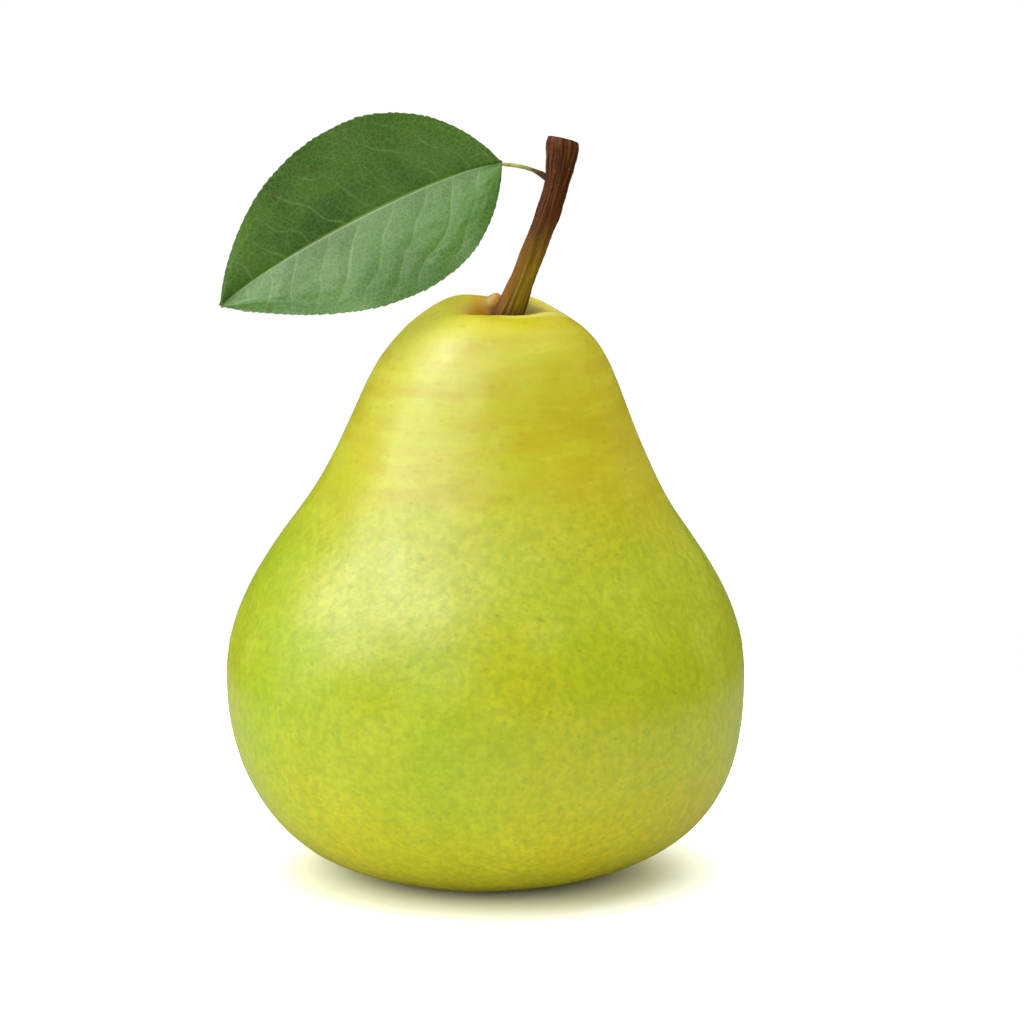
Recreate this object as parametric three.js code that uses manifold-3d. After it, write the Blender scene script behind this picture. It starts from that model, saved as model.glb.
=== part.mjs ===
// A pear standing on its blossom end, with its woody stalk, one leaf on a thin leaf stalk,
// and the dried sepals and stamens that stay in the hollow underneath.
// Millimetres, +Z up, -Y to the front. The origin is the middle of the flat spot the fruit stands on.
import * as THREE from "three";
import { mergeVertices } from "three/addons/utils/BufferGeometryUtils.js";
import Module from "manifold-3d";

const { smoothstep } = THREE.MathUtils;

// Driving dimensions of the fruit
const FRUIT_WIDTH = 76;
const FRUIT_DEPTH = 74.6;
const FRUIT_HEIGHT = 84; // to the rim around the stalk
const BELLY_HEIGHT = 29.4;
const BELLY_LOW = 0.44; // how upright the outline is below the belly, as a share of its height
const BELLY_HIGH = 9; // and above it
const WAIST = { radius: 28.5, height: 51.9, slope: 0.66 };
const NECK = { radius: 19, height: 70.7, slope: 0.4 };
const WAIST_REACH = 6; // how far the outline runs straight on at the waist and the neck
const SHOULDER_REACH = 7.9;
const CROWN_REACH = 5.4; // and how far it runs level outside the rim
const REST_INNER = 9; // the ring that touches the table
const REST_OUTER = 12.5;
const HEEL = 28; // reach of the curve from that ring up to the belly
const BASIN_DEPTH = 5; // hollow of the blossom end
const BASIN_SIDE = { radius: 4.6, height: 3.8 };
const BASIN_REACH = 2.6;
const PIT_DEPTH = 8; // narrow pit in the middle of that hollow
const PIT_RADIUS = 2.6;
const PIT_ROUND = { radius: 1.8, height: 5.6 };
const STALK_HOLLOW = 2.6; // depth of the hollow at the top
const RIM_RADIUS = 5.6; // of that hollow
const HOLLOW_SIDE = 3.4; // radius of its steep side
const HOLLOW_FLOOR = 2.8;
const NECK_LEAN = 2; // how far the neck stands to +X of the belly
const LEAN_FROM = 43.7;
const LEAN_TO = 79;
const HOLLOW_SHIFT = 1.9; // how far the stalk hollow stands to +X of the neck
const HOLLOW_SHIFT_REACH = 15;
const TOP_FROM = 75.6; // the bumps of the top fade in between these heights
const TOP_TO = 80.6;
const RIBS_FROM = { low: 1.7, high: 14.3 }; // and so do the ribs, and fade out again
const RIBS_TO = { low: 40.3, high: 66.4 };
const RIBS = [
  { count: 5, swell: 0.005, turn: 1.9 },
  { count: 3, swell: 0.004, turn: 0.6 },
];
const TOP_BUMPS = [
  { x: -3.6, y: 2, spread: 5.2, height: 1.1 }, // the higher side, left of the stalk
  { x: 1.9, y: 1.5, spread: 1.8, height: 2.1 }, // fleshy fold against the stalk
  { x: 0.6, y: -2, spread: 2.2, height: -1.5 }, // crease between that side and the front rim
  { x: -2.2, y: -3.8, spread: 2.2, height: -1 }, // and its open end
  { x: 4.6, y: -5.4, spread: 6, height: -1.6 }, // lower front rim
  { x: 11, y: 2, spread: 4, height: -0.8 }, // lower right side
  { x: 6, y: 5.5, spread: 3, height: 0.5 }, // higher back rim
];
const ROUND_STEPS = 60;
const OUTLINE_STEPS = 8; // along each curve of the outline
const GAP = 0.3; // between pieces that have grown together

// Driving dimensions of the stalks
const STALK_RADIUS = 1.72;
const STALK_FOOT = 0.5; // what the foot adds to that radius
const STALK_FOOT_FADE = { from: 0.1, to: 0.34 }; // shares of the stalk's length
const STALK_KNOB = 0.62; // what the knob at the end adds
const STALK_KNOB_FADE = { from: 0.72, to: 0.97 };
const STALK_CUT = 0.24; // slope of the broken end, falling towards +X
const STALK_CUT_FROM = 0.9;
const STALK_STEPS = { rings: 24, sides: 16 };
const LEAF_STALK_RADIUS = 0.36;
const LEAF_STALK_SWELL = 0.18; // what is added where it leaves the woody stalk
const LEAF_STALK_SWELL_TO = 0.45;
const LEAF_STALK_STEPS = { rings: 12, sides: 10 };

// Driving dimensions of the leaf
const LEAF_END = 0.25; // half width left at both ends
const LEAF_THICKNESS = 0.45;
const LEAF_ARCH = 0.6; // how far each half bulges out of the flat
const LEAF_STEPS = { along: 40, across: 12 };

// Driving dimensions of the dried blossom
const SEPALS = 5;
const SEPAL_TURN = 0.25; // of the first one, as a share of the angle between two
const SEPAL_HALF_WIDTH = 1.35;
const SEPAL_TIP = 0.2; // half width left at the point
const SEPAL_TAPER = 1.6; // 1 narrows evenly, more keeps it wide for longer
const SEPAL_THICKNESS = 0.45;
const SEPAL_CUP = 0.35; // how far its edges curl inwards
const SEPAL_STEPS = { along: 7, across: 4 };
const STAMEN_OUTLINE = [
  { radius: 0, height: 2.5 },
  { radius: 0.8, height: 2.6 },
  { radius: 1.2, height: 3 },
  { radius: 1.3, height: 3.5 },
  { radius: 1.2, height: 4 },
  { radius: 0.9, height: 5.2 },
  { radius: 0.7, height: 7 },
  { radius: 0, height: 7 },
];
const STAMEN_SIDES = 12;

const at = (x, y, z) => new THREE.Vector3(x, y, z);
const curve = (...handles) => new THREE.CubicBezierCurve3(...handles);
const stalkLine = curve(at(1.5, 0.3, 78.2), at(5.4, -0.3, 87), at(11.4, -0.6, 101), at(11.3, 0.8, 107.6));
const leafStalkLine = curve(
  at(8.35, -0.2, 102.75),
  at(7.2, -0.4, 103.4),
  at(5, -0.6, 104.2),
  at(2.95, -0.75, 104.35),
);
const leafBase = at(2.5, -0.75, 104.35);
const leafTip = at(-38, -5, 84.2);
const leafFacing = at(0.03, -1, 0.15).normalize(); // the way the leaf's upper side looks
const midribLine = curve(leafBase, at(-6.4, -2.5, 103.8), at(-31, -5, 90.8), leafTip);
const upperEdge = curve(leafBase, at(-12.7, -8.5, 121.6), at(-35.6, -11, 107.6), leafTip);
const lowerEdge = curve(leafBase, at(1.5, -11, 83.05), at(-23, -13.5, 82.75), leafTip);

// A sepal's middle line, as distance from the fruit's axis and height.
const sepalLine = new THREE.QuadraticBezierCurve(
  new THREE.Vector2(2.9, 4),
  new THREE.Vector2(2.9, 1.6),
  new THREE.Vector2(5.7, 0.8),
);

const material = {
  skin: new THREE.MeshStandardMaterial({ color: 0xb9c12c, roughness: 0.42, metalness: 0 }),
  bark: new THREE.MeshStandardMaterial({ color: 0x5a3012, roughness: 0.75, metalness: 0 }),
  leafStalk: new THREE.MeshStandardMaterial({ color: 0x9aa34e, roughness: 0.5, metalness: 0 }),
  leaf: new THREE.MeshStandardMaterial({ color: 0x4d7a2f, roughness: 0.45, metalness: 0 }),
  dried: new THREE.MeshStandardMaterial({ color: 0x3b2a1a, roughness: 0.9, metalness: 0 }),
};

// Moves every vertex of a geometry to where place(point) says.
function reshape(geometry, place) {
  const vertices = geometry.attributes.position;
  const point = new THREE.Vector3();
  for (let i = 0; i < vertices.count; i++) {
    place(point.fromBufferAttribute(vertices, i));
    vertices.setXYZ(i, point.x, point.y, point.z);
  }
  return geometry;
}

// Half of the fruit's upright section, from the pit underneath round to the stalk.
function fruitOutline() {
  const belly = FRUIT_WIDTH / 2;
  const outline = new THREE.Path();
  const curveTo = (...handles) => outline.bezierCurveTo(...handles.flat());
  outline.moveTo(0, PIT_DEPTH);
  curveTo([PIT_ROUND.radius, PIT_DEPTH], [PIT_ROUND.radius, PIT_ROUND.height], [PIT_RADIUS, BASIN_DEPTH]);
  curveTo([BASIN_SIDE.radius, BASIN_SIDE.height], [REST_INNER - BASIN_REACH, 0], [REST_INNER, 0]);
  outline.lineTo(REST_OUTER, 0);
  curveTo([HEEL, 0], [belly, BELLY_LOW * BELLY_HEIGHT], [belly, BELLY_HEIGHT]);
  curveTo(
    [belly, BELLY_HEIGHT + BELLY_HIGH],
    [WAIST.radius + WAIST.slope * WAIST_REACH, WAIST.height - WAIST_REACH],
    [WAIST.radius, WAIST.height],
  );
  curveTo(
    [WAIST.radius - WAIST.slope * WAIST_REACH, WAIST.height + WAIST_REACH],
    [NECK.radius + NECK.slope * WAIST_REACH, NECK.height - WAIST_REACH],
    [NECK.radius, NECK.height],
  );
  curveTo(
    [NECK.radius - NECK.slope * SHOULDER_REACH, NECK.height + SHOULDER_REACH],
    [RIM_RADIUS + CROWN_REACH, FRUIT_HEIGHT],
    [RIM_RADIUS, FRUIT_HEIGHT],
  );
  const floor = FRUIT_HEIGHT - STALK_HOLLOW;
  curveTo([HOLLOW_SIDE, FRUIT_HEIGHT], [HOLLOW_FLOOR, floor], [0, floor]);
  return outline.getPoints(OUTLINE_STEPS);
}

// How much a bump of the top lifts a point.
const lift = (bump, point) =>
  bump.height * Math.exp(-((point.x - bump.x) ** 2 + (point.y - bump.y) ** 2) / bump.spread ** 2);

// Turns the round body into a grown one: ribs, a leaning neck, and an uneven rim round the stalk.
function growFruit(point) {
  const radius = Math.hypot(point.x, point.y);
  const angle = Math.atan2(point.y, point.x);
  const { z } = point;
  const ribbed =
    smoothstep(z, RIBS_FROM.low, RIBS_FROM.high) * (1 - smoothstep(z, RIBS_TO.low, RIBS_TO.high));
  const atTop = smoothstep(z, TOP_FROM, TOP_TO);
  const ribs = RIBS.map((rib) => rib.swell * Math.cos(rib.count * angle + rib.turn));
  const swell = 1 + ribbed * ribs.reduce((sum, rib) => sum + rib, 0);
  point.x *= swell;
  point.y *= (swell * FRUIT_DEPTH) / FRUIT_WIDTH;
  point.x += NECK_LEAN * smoothstep(z, LEAN_FROM, LEAN_TO);
  point.x += HOLLOW_SHIFT * atTop * (1 - smoothstep(radius, HOLLOW_FLOOR, HOLLOW_SHIFT_REACH));
  for (const bump of TOP_BUMPS) point.z += atTop * lift(bump, point);
}

// A round rod along a curve, with radiusAt(share of its length).
function rod(line, radiusAt, { rings, sides }, cutSlope = 0) {
  const frames = line.computeFrenetFrames(rings, false);
  const geometry = new THREE.CylinderGeometry(1, 1, 1, sides, rings);
  return reshape(geometry, (point) => {
    const share = THREE.MathUtils.clamp(point.y + 0.5, 0, 1);
    const ring = Math.round(share * rings);
    const radius = radiusAt(share);
    const across = frames.normals[ring].clone().multiplyScalar(point.z * radius);
    across.addScaledVector(frames.binormals[ring], point.x * radius);
    const slope = -cutSlope * across.x * smoothstep(share, STALK_CUT_FROM, 1);
    point.copy(line.getPoint(share)).add(across);
    point.addScaledVector(frames.tangents[ring], slope);
  });
}

const stalkRadius = (share) =>
  STALK_RADIUS +
  STALK_FOOT * (1 - smoothstep(share, STALK_FOOT_FADE.from, STALK_FOOT_FADE.to)) +
  STALK_KNOB * smoothstep(share, STALK_KNOB_FADE.from, STALK_KNOB_FADE.to);

const leafStalkRadius = (share) =>
  LEAF_STALK_RADIUS + LEAF_STALK_SWELL * (1 - smoothstep(share, 0, LEAF_STALK_SWELL_TO));

// The blade: a thin board, stretched between the midrib and the two edges, which stand forward of it.
function leafGeometry() {
  const geometry = new THREE.BoxGeometry(1, 1, 1, LEAF_STEPS.along, LEAF_STEPS.across, 1);
  return reshape(geometry, (point) => {
    const share = THREE.MathUtils.clamp(point.x + 0.5, 0, 1);
    const across = 2 * point.y;
    const out = Math.abs(across);
    const edge = across < 0 ? upperEdge : lowerEdge;
    const side = leafFacing.clone().cross(midribLine.getTangent(share)).normalize();
    const forwards = LEAF_THICKNESS * point.z + LEAF_ARCH * Math.sin(Math.PI * out);
    point.copy(midribLine.getPoint(share)).lerp(edge.getPoint(share), out);
    point.addScaledVector(side, LEAF_END * across).addScaledVector(leafFacing, forwards);
  });
}

// A dried sepal: a small pointed scale that stands down from the basin and curls outwards.
function sepalGeometry() {
  const geometry = new THREE.BoxGeometry(1, 1, 1, SEPAL_STEPS.along, SEPAL_STEPS.across, 1);
  return reshape(geometry, (point) => {
    const share = THREE.MathUtils.clamp(point.x + 0.5, 0, 1);
    const across = 2 * point.y;
    const middle = sepalLine.getPoint(share);
    const along = sepalLine.getTangent(share);
    const lift = SEPAL_THICKNESS * point.z - SEPAL_CUP * across ** 2;
    const half = SEPAL_HALF_WIDTH * (1 - share ** SEPAL_TAPER) + SEPAL_TIP;
    point.set(middle.x - along.y * lift, half * across, middle.y + along.x * lift);
  });
}

// The withered stamens and styles, as the bundle that they make.
function stamenGeometry() {
  const outline = STAMEN_OUTLINE.map(({ radius, height }) => new THREE.Vector2(radius, height));
  return new THREE.LatheGeometry(outline, STAMEN_SIDES).rotateX(Math.PI / 2);
}

const wasm = await Module();
wasm.setup();

function toManifold(geometry) {
  const bare = geometry.clone();
  bare.deleteAttribute("normal");
  bare.deleteAttribute("uv");
  const merged = mergeVertices(bare, 1e-4);
  const vertProperties = new Float32Array(merged.attributes.position.array);
  const triVerts = new Uint32Array(merged.index.array);
  return new wasm.Manifold(new wasm.Mesh({ numProp: 3, vertProperties, triVerts }));
}

function toGeometry(solid) {
  const { vertProperties, triVerts } = solid.getMesh();
  const geometry = new THREE.BufferGeometry();
  geometry.setAttribute("position", new THREE.BufferAttribute(vertProperties, 3));
  geometry.setIndex(new THREE.BufferAttribute(triVerts, 1));
  geometry.computeVertexNormals();
  return geometry;
}

// The fruit, with a socket that its stalk grows out of.
function fruitGeometry() {
  const body = new THREE.LatheGeometry(fruitOutline(), ROUND_STEPS).rotateX(Math.PI / 2);
  const socket = rod(stalkLine, (share) => stalkRadius(share) + GAP, STALK_STEPS);
  socket.translate(0, 0, -GAP);
  return toGeometry(toManifold(reshape(body, growFruit)).subtract(toManifold(socket)));
}

const pear = new THREE.Group();

function addPiece(name, geometry, finish) {
  const piece = new THREE.Mesh(geometry, finish);
  piece.name = name;
  pear.add(piece);
  return piece;
}

addPiece("fruit", fruitGeometry(), material.skin);
addPiece("stalk", rod(stalkLine, stalkRadius, STALK_STEPS, STALK_CUT), material.bark);
addPiece("leaf_stalk", rod(leafStalkLine, leafStalkRadius, LEAF_STALK_STEPS), material.leafStalk);
addPiece("leaf_blade", leafGeometry(), material.leaf);
addPiece("stamens", stamenGeometry(), material.dried);
for (let i = 0; i < SEPALS; i++) {
  const sepal = addPiece(`sepal_${i + 1}`, sepalGeometry(), material.dried);
  sepal.rotation.z = (2 * Math.PI * (i + SEPAL_TURN)) / SEPALS;
}

export default pear;
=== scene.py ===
import math
import random

import bmesh
import bpy
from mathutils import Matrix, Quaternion, Vector, noise


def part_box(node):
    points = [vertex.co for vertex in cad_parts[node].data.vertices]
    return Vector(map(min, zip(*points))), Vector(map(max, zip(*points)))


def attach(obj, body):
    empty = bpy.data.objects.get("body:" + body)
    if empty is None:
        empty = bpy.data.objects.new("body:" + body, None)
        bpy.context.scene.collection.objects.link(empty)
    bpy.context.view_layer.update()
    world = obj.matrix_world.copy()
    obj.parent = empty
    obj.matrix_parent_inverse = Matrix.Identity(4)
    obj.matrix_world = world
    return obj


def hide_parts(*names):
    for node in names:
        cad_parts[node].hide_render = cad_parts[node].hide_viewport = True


# A pear with its woody stalk, one leaf and the dried blossom underneath.
# Everything is in metres, in the frame's own axes: +Z up, -Y to the front.
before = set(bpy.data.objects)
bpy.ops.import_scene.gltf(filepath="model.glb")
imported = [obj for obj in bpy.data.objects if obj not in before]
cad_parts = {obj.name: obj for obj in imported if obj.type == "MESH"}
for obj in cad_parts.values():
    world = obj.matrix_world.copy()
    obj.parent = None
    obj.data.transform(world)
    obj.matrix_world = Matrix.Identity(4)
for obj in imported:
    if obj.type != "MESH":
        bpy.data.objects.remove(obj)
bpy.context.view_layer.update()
mm = 0.001
print("frame loaded:", ", ".join(sorted(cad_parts)))


# helpers for modelling

def pickNothing():
    for thing in bpy.context.selected_objects:
        thing.select_set(False)


def pickOnly(piece):
    pickNothing()
    piece.select_set(True)
    bpy.context.view_layer.objects.active = piece


def named(name):
    piece = bpy.context.object
    piece.name = name
    piece.data.name = name
    return piece


def millimetres(*values):
    return Vector(values) * mm


def softStep(value, low, high):
    share = min(max((value - low) / (high - low), 0), 1)
    return share * share * (3 - 2 * share)


def cleanUp(piece, nearness=0.00001):
    # welds the seam and turns every face outwards
    pickOnly(piece)
    bpy.ops.object.mode_set(mode="EDIT")
    bpy.ops.mesh.select_all(action="SELECT")
    bpy.ops.mesh.remove_doubles(threshold=nearness)
    bpy.ops.mesh.normals_make_consistent(inside=False)
    bpy.ops.object.mode_set(mode="OBJECT")


def addModifier(piece, kind, **settings):
    modifier = piece.modifiers.new(kind.title(), kind)
    for setting, value in settings.items():
        setattr(modifier, setting, value)
    return modifier


def applyModifiers(piece):
    pickOnly(piece)
    for modifier in list(piece.modifiers):
        bpy.ops.object.modifier_apply(modifier=modifier.name)


def finishPiece(piece, nodes, materials, smoothAngle=180):
    # smooth shading, materials, and its place in the frame
    pickOnly(piece)
    bpy.ops.object.shade_smooth_by_angle(angle=math.radians(smoothAngle))
    if not piece.data.materials:
        for material in materials:
            piece.data.materials.append(material)
    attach(piece, "root")
    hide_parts(*nodes)
    print(piece.name, len(piece.data.polygons), "faces")


def pathPoint(path, share):
    # point and direction on a curve of four handles
    a, b, c, d = path
    rest = 1 - share
    point = a * rest**3 + b * (3 * rest**2 * share) + c * (3 * rest * share**2) + d * share**3
    along = (b - a) * rest**2 + (c - b) * (2 * rest * share) + (d - c) * share**2
    return point, along.normalized()


def sheetOf(name, columns, rows):
    # a flat grid with its own UV map, ready to be shaped
    bpy.ops.mesh.primitive_grid_add(x_subdivisions=columns, y_subdivisions=rows, size=1)
    sheet = named(name)
    sheet.data.uv_layers[0].name = "patternMap"
    return sheet


def reshape(piece, place):
    # place(share across X, share across Y) gives each point of a flat grid its new place
    for vertex in piece.data.vertices:
        vertex.co = place(vertex.co.x + 0.5, vertex.co.y + 0.5)


def rodOf(name, path, radiusAt, rings, sides, surface=None, cutSlope=0):
    # a grid rolled up into a rod along the path; UV runs round in X and along in Y
    rod = sheetOf(name, sides, rings)
    start = pathPoint(path, 0)[1]
    aside = start.orthogonal().normalized()

    def place(round, share):
        centre, along = pathPoint(path, share)
        turn = start.rotation_difference(along)
        angle = math.tau * round
        outwards = turn @ (Quaternion(start, angle) @ aside)
        radius = radiusAt(share)
        if surface:
            radius += surface(angle, share, centre + outwards * radius)
        point = centre + outwards * radius
        return point - along * (cutSlope * (point - centre).x * softStep(share, 0.9, 1))

    reshape(rod, place)
    pickOnly(rod)
    bpy.ops.object.mode_set(mode="EDIT")
    bpy.ops.mesh.select_all(action="SELECT")
    bpy.ops.mesh.remove_doubles(threshold=0.000004)
    bpy.ops.mesh.select_all(action="DESELECT")
    bpy.ops.mesh.select_non_manifold()
    bpy.ops.mesh.edge_face_add()
    bpy.ops.mesh.select_all(action="SELECT")
    bpy.ops.mesh.normals_make_consistent(inside=False)
    bpy.ops.object.mode_set(mode="OBJECT")
    return rod


# helpers for materials

def addNode(tree, kind, inputs=None, **settings):
    node = tree.nodes.new(kind)
    for setting, value in settings.items():
        setattr(node, setting, value)
    for socket, value in (inputs or {}).items():
        if isinstance(value, bpy.types.NodeSocket):
            tree.links.new(value, node.inputs[socket])
        else:
            node.inputs[socket].default_value = value
    return node


def calculate(tree, operation, first, second=0.0, third=0.0, clamp=False):
    node = addNode(tree, "ShaderNodeMath", {0: first, 1: second}, operation=operation, use_clamp=clamp)
    if operation in ("MULTIPLY_ADD", "SMOOTH_MIN"):
        if isinstance(third, bpy.types.NodeSocket):
            tree.links.new(third, node.inputs[2])
        else:
            node.inputs[2].default_value = third
    return node.outputs[0]


def spread(tree, value, low, high, fromValue=0.0, toValue=1.0):
    # eases a value from low to high over into fromValue to toValue
    node = addNode(tree, "ShaderNodeMapRange", {
        "Value": value, "From Min": low, "From Max": high, "To Min": fromValue, "To Max": toValue,
    }, interpolation_type="SMOOTHSTEP")
    return node.outputs["Result"]


def blendColours(tree, factor, first, second, mode="MIX"):
    node = addNode(tree, "ShaderNodeMix", data_type="RGBA", blend_type=mode)
    for socket, value in ((0, factor), (6, first), (7, second)):
        if isinstance(value, bpy.types.NodeSocket):
            tree.links.new(value, node.inputs[socket])
        else:
            node.inputs[socket].default_value = (*value, 1) if socket else value
    return node.outputs[2]


def stretched(tree, coordinates, scale, location=(0, 0, 0)):
    node = addNode(tree, "ShaderNodeMapping", {"Vector": coordinates, "Scale": scale, "Location": location})
    return node.outputs[0]


def newGroup(name, inputs, output):
    group = bpy.data.node_groups.new(name, "ShaderNodeTree")
    for label, kind, value in inputs:
        socket = group.interface.new_socket(label, in_out="INPUT", socket_type=kind)
        if value is not None:
            socket.default_value = value
    group.interface.new_socket(output, in_out="OUTPUT", socket_type="NodeSocketFloat")
    return group, group.nodes.new("NodeGroupInput").outputs, group.nodes.new("NodeGroupOutput").inputs


def makePatches():
    # soft clouded patches, used for ripening, mottling, bark and wear
    group, given, result = newGroup("softPatches", [
        ("Vector", "NodeSocketVector", None),
        ("Scale", "NodeSocketFloat", 100.0),
        ("Detail", "NodeSocketFloat", 2.0),
        ("Low", "NodeSocketFloat", 0.4),
        ("High", "NodeSocketFloat", 0.6),
    ], "Mask")
    cloud = addNode(group, "ShaderNodeTexNoise", {
        "Vector": given["Vector"], "Scale": given["Scale"], "Detail": given["Detail"],
    })
    group.links.new(spread(group, cloud.outputs[0], given["Low"], given["High"]), result[0])
    return group


def makeDots():
    # scattered round dots: Share of the cells hold one, of about Size of a cell
    group, given, result = newGroup("scatteredDots", [
        ("Vector", "NodeSocketVector", None),
        ("Scale", "NodeSocketFloat", 300.0),
        ("Size", "NodeSocketFloat", 0.2),
        ("Softness", "NodeSocketFloat", 0.1),
        ("Share", "NodeSocketFloat", 0.8),
    ], "Mask")
    cells = addNode(group, "ShaderNodeTexVoronoi", {"Vector": given["Vector"], "Scale": given["Scale"]})
    chance = addNode(group, "ShaderNodeSeparateColor", {0: cells.outputs["Color"]})
    size = calculate(group, "MULTIPLY", given["Size"], spread(group, chance.outputs[1], 0, 1, 0.55, 1.2))
    outer = calculate(group, "ADD", size, given["Softness"])
    dot = spread(group, cells.outputs["Distance"], size, outer, 1, 0)
    kept = calculate(group, "LESS_THAN", chance.outputs[0], given["Share"])
    group.links.new(calculate(group, "MULTIPLY", dot, kept), result[0])
    return group


softPatches = makePatches()
scatteredDots = makeDots()


def patches(tree, coordinates, scale, low, high, detail=2.0):
    node = addNode(tree, "ShaderNodeGroup", node_tree=softPatches)
    tree.links.new(coordinates, node.inputs["Vector"])
    for label, value in (("Scale", scale), ("Detail", detail), ("Low", low), ("High", high)):
        node.inputs[label].default_value = value
    return node.outputs[0]


def dots(tree, coordinates, scale, size, softness, share):
    node = addNode(tree, "ShaderNodeGroup", node_tree=scatteredDots)
    tree.links.new(coordinates, node.inputs["Vector"])
    for label, value in (("Scale", scale), ("Size", size), ("Softness", softness), ("Share", share)):
        node.inputs[label].default_value = value
    return node.outputs[0]


def newMaterial(name, **fixed):
    material = bpy.data.materials.new(name)
    material.use_nodes = True
    tree = material.node_tree
    shader = tree.nodes["Principled BSDF"]
    for label, value in fixed.items():
        shader.inputs[label.replace("_", " ")].default_value = value
    place = addNode(tree, "ShaderNodeTexCoord").outputs["Object"]
    return material, tree, shader, place


def connect(tree, shader, colour, roughness, height, distance, strength=1.0):
    bump = addNode(tree, "ShaderNodeBump", {"Height": height, "Distance": distance, "Strength": strength})
    tree.links.new(colour, shader.inputs["Base Color"])
    tree.links.new(roughness, shader.inputs["Roughness"])
    tree.links.new(bump.outputs[0], shader.inputs["Normal"])


# the fruit

fruitLow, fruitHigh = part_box("fruit")
fruit = {
    "belly": (fruitHigh.x - fruitLow.x) / 2,
    "depth": (fruitHigh.y - fruitLow.y) / (fruitHigh.x - fruitLow.x),
    "bellyHeight": 29.4 * mm,
    "rimHeight": 84 * mm,
    "rimRadius": 5.6 * mm,
    "waist": (28.5 * mm, 51.9 * mm),
    "neck": (19 * mm, 70.7 * mm),
    "restInner": 9 * mm,
    "restOuter": 12.5 * mm,
    "basinDepth": 5 * mm,
    "pitDepth": 8 * mm,
    "pitRadius": 2.6 * mm,
    "hollowDepth": 2.8 * mm,
    "steps": 128,  # round the fruit
    "outlineSteps": 14,  # on each curve of the outline
    "unevenness": 0.5 * mm,
    "crease": [  # from the stalk out over the front rim, seen from above
        Vector((2.2, -0.6)) * mm,
        Vector((0.6, -1.6)) * mm,
        Vector((-1.6, -3.2)) * mm,
        Vector((-4.4, -5.6)) * mm,
    ],
    "creaseDepth": 1.9 * mm,
    "creaseWidth": 0.85 * mm,
    "rimLine": (4.4 * mm, -0.2 * mm, 6.3 * mm, 4.7 * mm),  # centre and half sizes of the front rim
    "rimLip": 0.34 * mm,  # how far its edge stands up
    "rimWidth": 0.55 * mm,  # and how wide that edge is
    "creaseSteps": 24,
    "crownFrom": 75.6 * mm,  # shaping of the top starts here
    "crownFull": 80.6 * mm,  # and is whole from here up
}

# swells and dips of the top: where, how wide, how high, all in millimetres
crownSwells = [
    ((-3.6, 2.0), 5.2, 1.1),  # the higher side, left of the stalk
    ((2.1, 1.3), 1.8, 3.3),  # fleshy fold against the stalk
    ((0.6, -2.0), 2.2, -1.5),  # foot of the crease
    ((-2.2, -3.8), 2.2, -1.0),  # and its open end
    ((6.6, 0.6), 2.2, -0.9),  # deep beside the stalk
    ((4.6, -5.4), 6.0, -1.6),  # lower front rim
    ((11.0, 2.0), 4.0, -0.8),
    ((6.0, 5.5), 3.0, 0.5),
]

# places pushed in or out one by one: where, by how much, how far the push reaches, all in millimetres
fruitPushes = [
    ((0, 0, 84), (2.0, 0, 0), 44),  # the neck leans
    ((0, 0, 81), (1.9, 0, 0), 13),  # and the stalk hollow sits to the right of it
    ((-30, -22, 30), (-0.6, -0.5, 0), 26),  # low broad ribs of the belly
    ((22, -30, 26), (0.5, -0.8, 0), 24),
    ((33, 15, 34), (0.5, 0.3, 0), 24),
    ((-6, 36, 30), (0, 0.3, 0), 26),
    ((31, -6, 12), (1.2, 0, 0), 20),  # fuller low on the right
    ((-22, -8, 60), (0.8, 0.3, 0), 18),  # a faint dent of the waist
]


def drawOutline():
    # half of the upright section, drawn as a curve
    belly, rimRadius = fruit["belly"], fruit["rimRadius"]
    waist, neck = Vector(fruit["waist"]), Vector(fruit["neck"])
    waistHandle, neckHandle = millimetres(4, -6), millimetres(2.4, -6)
    basin, pit, pitRadius = fruit["basinDepth"], fruit["pitDepth"], fruit["pitRadius"]
    inner, outer = fruit["restInner"], fruit["restOuter"]
    top, hollow = fruit["rimHeight"], fruit["rimHeight"] - fruit["hollowDepth"]
    knots = [  # handle before, knot, handle after
        ((0, pit), (0, pit), (1.8 * mm, pit)),
        ((1.6 * mm, basin + 0.6 * mm), (pitRadius, basin), (pitRadius + 2 * mm, basin - 1.2 * mm)),
        ((inner - 2.6 * mm, 0), (inner, 0), (inner + 1 * mm, 0)),
        ((outer - 1 * mm, 0), (outer, 0), (0.74 * belly, 0)),
        ((belly, 0.44 * fruit["bellyHeight"]), (belly, fruit["bellyHeight"]), (belly, 38.5 * mm)),
        (waist + waistHandle, waist, waist - waistHandle),
        (neck + neckHandle, neck, neck - neckHandle * 1.3),
        ((rimRadius + 5.4 * mm, top), (rimRadius, top), (0.6 * rimRadius, top)),
        ((0.5 * rimRadius, hollow), (0, hollow), (0, hollow)),
    ]
    bpy.ops.curve.primitive_bezier_curve_add()
    outline = bpy.context.object
    spline = outline.data.splines[0]
    spline.bezier_points.add(len(knots) - 2)
    outline.data.resolution_u = fruit["outlineSteps"]
    for point, (before, at, after) in zip(spline.bezier_points, knots):
        point.handle_left_type = point.handle_right_type = "FREE"
        point.handle_left = (before[0], 0, before[1])
        point.co = (at[0], 0, at[1])
        point.handle_right = (after[0], 0, after[1])
    bpy.ops.object.convert(target="MESH")
    return named("pearFlesh")


def pushSurface(piece, at, by, reach):
    # grabs the nearest point and moves it, with proportional editing
    mesh = bmesh.from_edit_mesh(piece.data)
    bpy.ops.mesh.select_all(action="DESELECT")
    nearest = min(mesh.verts, key=lambda vertex: (vertex.co - at).length_squared)
    nearest.select = True
    bmesh.update_edit_mesh(piece.data)
    bpy.ops.transform.translate(
        value=by,
        use_proportional_edit=True,
        proportional_edit_falloff="SMOOTH",
        proportional_size=reach,
    )


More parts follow.
